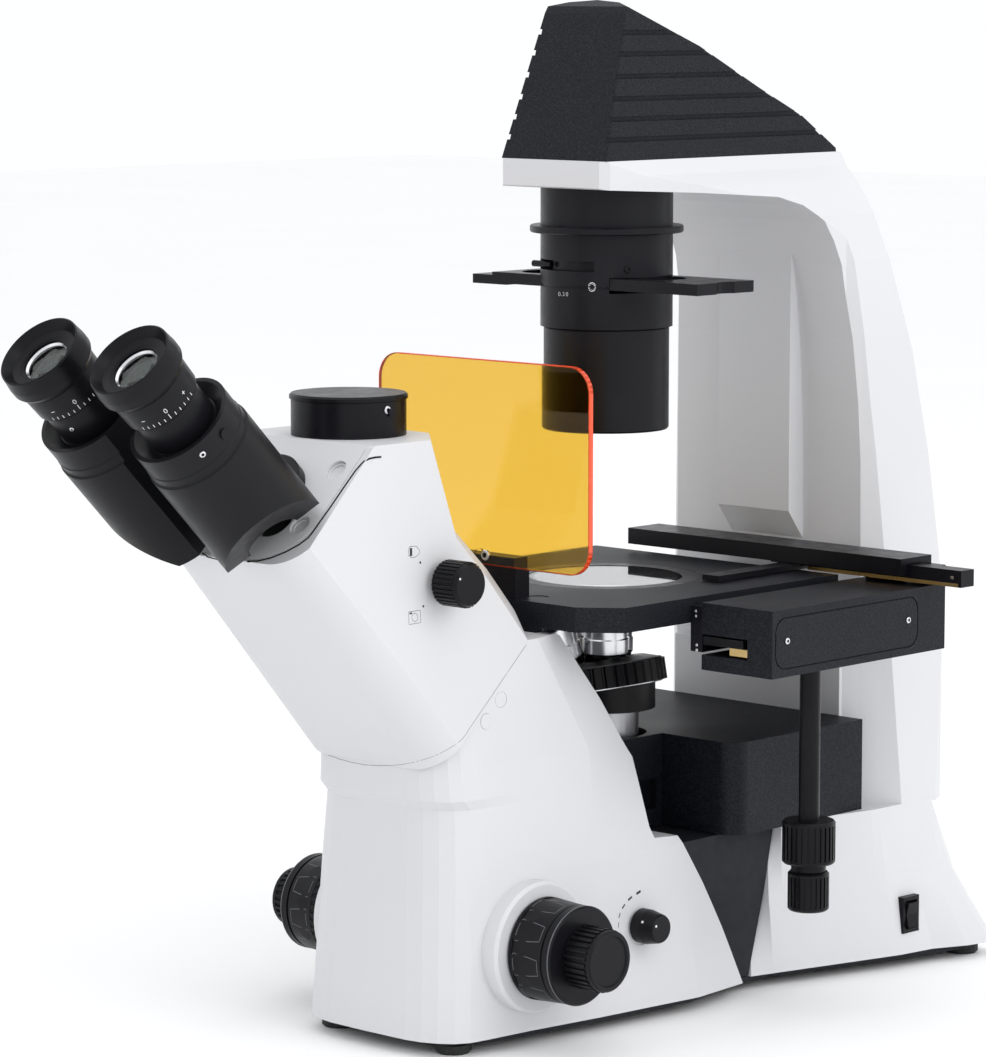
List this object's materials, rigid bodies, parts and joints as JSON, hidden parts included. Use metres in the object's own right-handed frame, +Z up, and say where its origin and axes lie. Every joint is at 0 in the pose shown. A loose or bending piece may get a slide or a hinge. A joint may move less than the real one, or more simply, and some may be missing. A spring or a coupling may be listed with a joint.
{
  "type": "inverted microscope",
  "caption": "Inverted laboratory microscope with leaning binocular head, nosepiece below a mechanical stage, orange shield, long condenser and arched column.",
  "frame": {"origin": "on the floor plane, under the optical axis of the condenser", "axes": "+X to the user's right, +Y from the eyepieces to the column, +Z up"},
  "size_m": [0.286, 0.5992, 0.5308],
  "materials": {
    "white_paint": "smooth white powder coat over cast aluminium",
    "white_cap": "smooth",
    "dark_frame": "dark grey satin paint",
    "black_paint": "fine-grained black paint",
    "black_plastic": "moulded satin",
    "foot_rubber": "matte",
    "clear_glass": "polished",
    "orange_acrylic": "polished transparent orange",
    "rack_brass": "machined",
    "bright_metal": "bright plated",
    "grey_metal": "machined",
    "front_mirror": "polished front surface"
  },
  "bodies": {
    "stand": {"base_frame": "dark_frame", "binocular_hub": "black_paint", "bottom_plate": "dark_frame", "column_shell": "white_paint", "condenser_lower": "black_paint", "condenser_upper": "black_paint", "feet": "foot_rubber", "fixed_lenses": "clear_glass", "fluorescence_housing": "black_paint", "focus_bosses": "white_paint", "fold_mirrors": "front_mirror", "front_shell": "white_paint", "head_shell": "white_paint", "lamp_cover": "black_paint", "lamp_module": "grey_metal", "photo_port": "black_paint", "power_inlet": "black_plastic", "prism_housing": "white_paint", "screw_caps": "white_cap", "shield": "orange_acrylic", "shield_bracket": "black_paint", "stage_bracket": "black_paint", "stage_plate": "black_paint", "switch_bezel": "black_plastic", "y_guide": "black_paint", "y_rack": "rack_brass"},
    "coarse": {"coarse_knobs": "black_plastic"},
    "fine": {"fine_knobs": "black_plastic"},
    "tension": {"tension_ring": "black_plastic"},
    "lift": {"focus_lift": "grey_metal", "nosepiece_mount": "grey_metal"},
    "turret_body": {"turret": "black_paint", "objectives": "bright_metal"},
    "path_knob": {"light_path_knob": "black_plastic"},
    "path_carrier": {"path_prism": "grey_metal"},
    "brightness": {"brightness_knob": "black_plastic"},
    "rocker": {"power_rocker": "black_plastic"},
    "right_ocular": {"right_housing": "black_paint", "right_eyepiece": "black_paint"},
    "left_ocular": {"left_housing": "black_paint", "left_eyepiece": "black_paint"},
    "right_diopter": {"right_diopter_ring": "black_plastic", "right_eye_lens": "clear_glass"},
    "left_diopter": {"left_diopter_ring": "black_plastic", "left_eye_lens": "clear_glass"},
    "field_ring": {"field_diaphragm_ring": "black_plastic"},
    "aperture": {"aperture_lever": "black_paint"},
    "phase": {"phase_slider": "black_plastic"},
    "carriage": {"y_carriage": "black_paint", "x_guide_bar": "black_paint", "x_pinion": "grey_metal"},
    "y_drive_body": {"y_drive": "black_plastic"},
    "x_drive_body": {"x_drive": "black_plastic"},
    "x_slide": {"x_rail": "black_paint", "x_rack": "rack_brass", "specimen_arm": "black_paint"},
    "cap": {"port_cap": "black_plastic"},
    "insert": {"stage_insert": "black_paint", "insert_glass": "clear_glass"},
    "filter": {"filter_slider": "black_paint"}
  },
  "joints": [
    {"name": "coarse_focus", "type": "hinge", "parent": "stand", "child": "coarse", "pos_m": [0, -0.122, 0.0516], "axis": [1, 0, 0], "range_deg": [-19.2, 66.9]},
    {"name": "nosepiece_lift", "type": "slide", "parent": "stand", "child": "lift", "axis": [0, 0, 1], "range_m": [-0.002, 0.007]},
    {"name": "fine_focus", "type": "hinge", "parent": "coarse", "child": "fine", "pos_m": [0, -0.122, 0.0516], "axis": [1, 0, 0], "continuous": true},
    {"name": "focus_tension", "type": "hinge", "parent": "stand", "child": "tension", "pos_m": [-0.071, -0.122, 0.0516], "axis": [1, 0, 0], "range_deg": [-30, 150]},
    {"name": "turret_turn", "type": "hinge", "parent": "lift", "child": "turret_body", "pos_m": [-0.01813, 0, 0.16625], "axis": [-0.1908, 0, 0.9816], "continuous": true},
    {"name": "light_path_turn", "type": "hinge", "parent": "stand", "child": "path_knob", "pos_m": [0.06, -0.1803, 0.2446], "axis": [-1, 0, 0], "range_deg": [0, 90]},
    {"name": "path_prism_slide", "type": "slide", "parent": "stand", "child": "path_carrier", "axis": [0, -0.7071, 0.7071], "range_m": [0, 0.018]},
    {"name": "brightness_turn", "type": "hinge", "parent": "stand", "child": "brightness", "pos_m": [0.07, -0.0475, 0.0515], "axis": [1, 0, 0], "range_deg": [0, 270]},
    {"name": "power_rock", "type": "hinge", "parent": "stand", "child": "rocker", "pos_m": [0.0882, 0.1504, 0.0295], "axis": [0, 1, 0], "range_deg": [-6, 6]},
    {"name": "right_tube_swing", "type": "hinge", "parent": "stand", "child": "right_ocular", "pos_m": [0, -0.25774, 0.2938], "axis": [0, -0.7071, 0.7071], "range_deg": [-10.5, 13.7]},
    {"name": "left_tube_swing", "type": "hinge", "parent": "stand", "child": "left_ocular", "pos_m": [0, -0.26198, 0.29805], "axis": [0, -0.7071, 0.7071], "range_deg": [-13.7, 10.5]},
    {"name": "right_diopter_turn", "type": "hinge", "parent": "right_ocular", "child": "right_diopter", "pos_m": [0.032, -0.35461, 0.35249], "axis": [0, -0.7071, 0.7071], "range_deg": [-150, 150]},
    {"name": "left_diopter_turn", "type": "hinge", "parent": "left_ocular", "child": "left_diopter", "pos_m": [-0.032, -0.35461, 0.35249], "axis": [0, -0.7071, 0.7071], "range_deg": [-150, 150]},
    {"name": "field_diaphragm_turn", "type": "hinge", "parent": "stand", "child": "field_ring", "pos_m": [0, 0, 0.4107], "axis": [0, 0, 1], "range_deg": [0, 120]},
    {"name": "aperture_turn", "type": "hinge", "parent": "stand", "child": "aperture", "pos_m": [0, 0, 0.3922], "axis": [0, 0, 1], "range_deg": [0, 54]},
    {"name": "phase_slide", "type": "slide", "parent": "stand", "child": "phase", "axis": [1, 0, 0], "range_m": [-0.038, 0.038]},
    {"name": "stage_y", "type": "slide", "parent": "stand", "child": "carriage", "axis": [0, 1, 0], "range_m": [-0.055, 0.0199]},
    {"name": "y_drive_turn", "type": "hinge", "parent": "carriage", "child": "y_drive_body", "pos_m": [0.133, 0.0107, 0.15], "axis": [0, 0, 1], "range_deg": [-501, 181]},
    {"name": "x_drive_turn", "type": "hinge", "parent": "carriage", "child": "x_drive_body", "pos_m": [0.133, 0.0107, 0.15], "axis": [0, 0, 1], "range_deg": [-300, 397]},
    {"name": "stage_x", "type": "slide", "parent": "carriage", "child": "x_slide", "axis": [1, 0, 0], "range_m": [-0.034, 0.045]},
    {"name": "port_cap_lift", "type": "slide", "parent": "stand", "child": "cap", "axis": [0, 0, 1], "range_m": [0, 0.04]},
    {"name": "insert_lift", "type": "slide", "parent": "stand", "child": "insert", "axis": [0, 0, 1], "range_m": [0, 0.03]},
    {"name": "filter_slide", "type": "slide", "parent": "stand", "child": "filter", "axis": [1, 0, 0], "range_m": [0, 0.03]}
  ],
  "couplings": [
    {"joint": "coarse_focus", "follows": "nosepiece_lift", "rad_per_m": 166.67},
    {"joint": "light_path_turn", "follows": "path_prism_slide", "rad_per_m": 86.957},
    {"joint": "left_tube_swing", "follows": "right_tube_swing", "ratio": -1},
    {"joint": "y_drive_turn", "follows": "stage_y", "rad_per_m": 158.73},
    {"joint": "x_drive_turn", "follows": "stage_x", "rad_per_m": 153.85}
  ]
}
